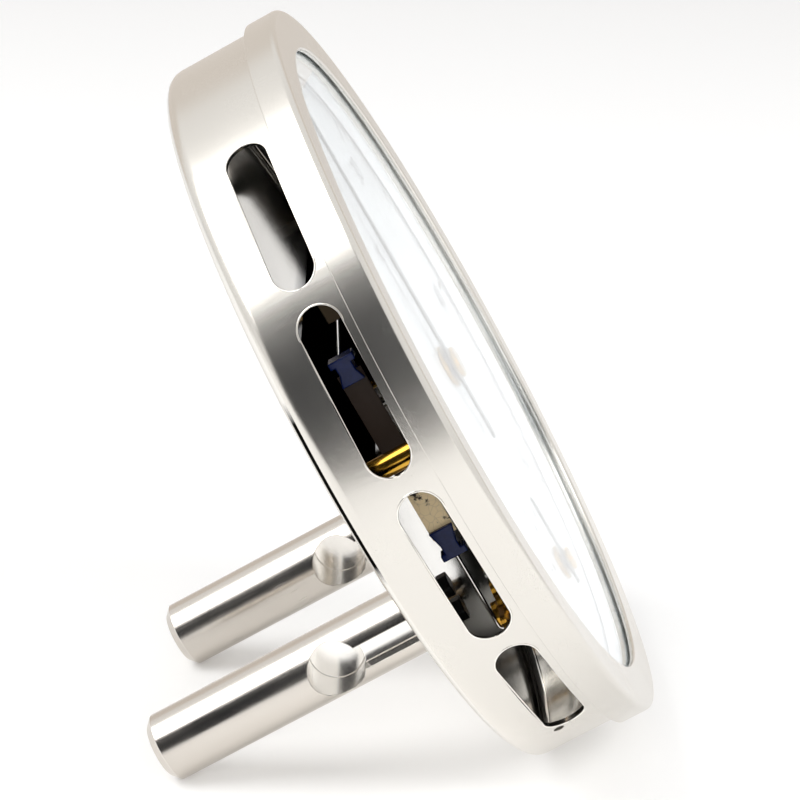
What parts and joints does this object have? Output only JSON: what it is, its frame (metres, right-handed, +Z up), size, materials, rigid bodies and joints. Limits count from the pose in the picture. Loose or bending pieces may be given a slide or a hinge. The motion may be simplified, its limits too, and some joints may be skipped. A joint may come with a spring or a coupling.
{
  "type": "desk dial thermometer",
  "caption": "Round steel-cased dial thermometer with a small humidity dial, vent slots in its rim, leaning back on two round bar legs.",
  "frame": {"origin": "centre of the bounding box's footprint, on the surface that the instrument stands on", "axes": "+Z up, -Y towards the reader of the dial, +X to the reader's right"},
  "size_m": [0.1182, 0.0766, 0.1098],
  "materials": {
    "case_steel": "satin turned stainless",
    "leg_steel": "fine turned stainless",
    "bright_steel": "polished steel",
    "brass": "turned brass",
    "black_steel": "blacked steel",
    "spring_metal": "bright rolled strip",
    "glass": "clear flat glass",
    "seal": "pale soft ring",
    "dial": "matt white paint with black print",
    "hands": "satin black paint",
    "clip": "navy moulding",
    "strip": "mottled beige membrane"
  },
  "bodies": {
    "case": {"case_shell": "case_steel", "bezel_ring": "case_steel", "crystal": "glass", "crystal_seal": "seal", "spacer_ring": "dial", "dial_plate": "dial", "pillar_left": "brass", "pillar_right": "brass", "pillar_top": "brass", "dial_screw_left": "bright_steel", "dial_screw_right": "bright_steel", "dial_screw_top": "bright_steel", "temp_bush": "brass", "bimetal_coil": "spring_metal", "humid_bush": "brass", "hairspring": "spring_metal", "hairspring_stud": "brass", "humid_cock": "brass", "cock_post": "brass", "cock_screw": "bright_steel", "lever_post": "brass", "lever_collar": "brass", "hygro_strip": "strip", "upper_clip": "clip", "hanger_wire": "bright_steel", "hanger_block": "brass", "hanger_screw": "bright_steel", "leg_left": "leg_steel", "leg_right": "leg_steel", "leg_screw_left_upper": "black_steel", "leg_screw_left_lower": "black_steel", "leg_screw_right_upper": "black_steel", "leg_screw_right_lower": "black_steel"},
    "temp_pointer": {"temp_arbor": "bright_steel", "temp_hand": "hands", "temp_hand_nut": "brass"},
    "temp_adjuster": {"zero_adjuster": "brass", "coil_anchor": "brass"},
    "humid_lever": {"sector_lever": "brass"},
    "humid_pointer": {"humid_arbor": "bright_steel", "humid_hand": "hands", "humid_hand_nut": "brass"},
    "strip_end": {"lower_clip": "clip", "strip_link": "bright_steel"}
  },
  "joints": [
    {"name": "temperature_hinge", "type": "hinge", "parent": "case", "child": "temp_pointer", "pos_m": [0, -0.00489, 0.05655], "axis": [0, -0.866, 0.5], "range_deg": [-135, 135], "stiffness_Nm_per_rad": 0.002},
    {"name": "zero_adjust_hinge", "type": "hinge", "parent": "case", "child": "temp_adjuster", "pos_m": [0, -0.00489, 0.05655], "axis": [0, -0.866, 0.5], "range_deg": [-20, 20]},
    {"name": "lever_hinge", "type": "hinge", "parent": "case", "child": "humid_lever", "pos_m": [-0.04, -0.01689, 0.03577], "axis": [0, -0.866, 0.5], "range_deg": [-6.08, 6.08], "stiffness_Nm_per_rad": 0.02},
    {"name": "humidity_hinge", "type": "hinge", "parent": "case", "child": "humid_pointer", "pos_m": [0, -0.02289, 0.02537], "axis": [0, -0.866, 0.5], "range_deg": [-120, 120]},
    {"name": "strip_slide", "type": "slide", "parent": "case", "child": "strip_end", "axis": [0, 0.5, 0.866], "range_m": [-0.00064, 0.00064]}
  ],
  "couplings": [
    {"joint": "humidity_hinge", "follows": "lever_hinge", "ratio": -19.731},
    {"joint": "strip_slide", "follows": "lever_hinge", "m_per_rad": -0.006}
  ]
}
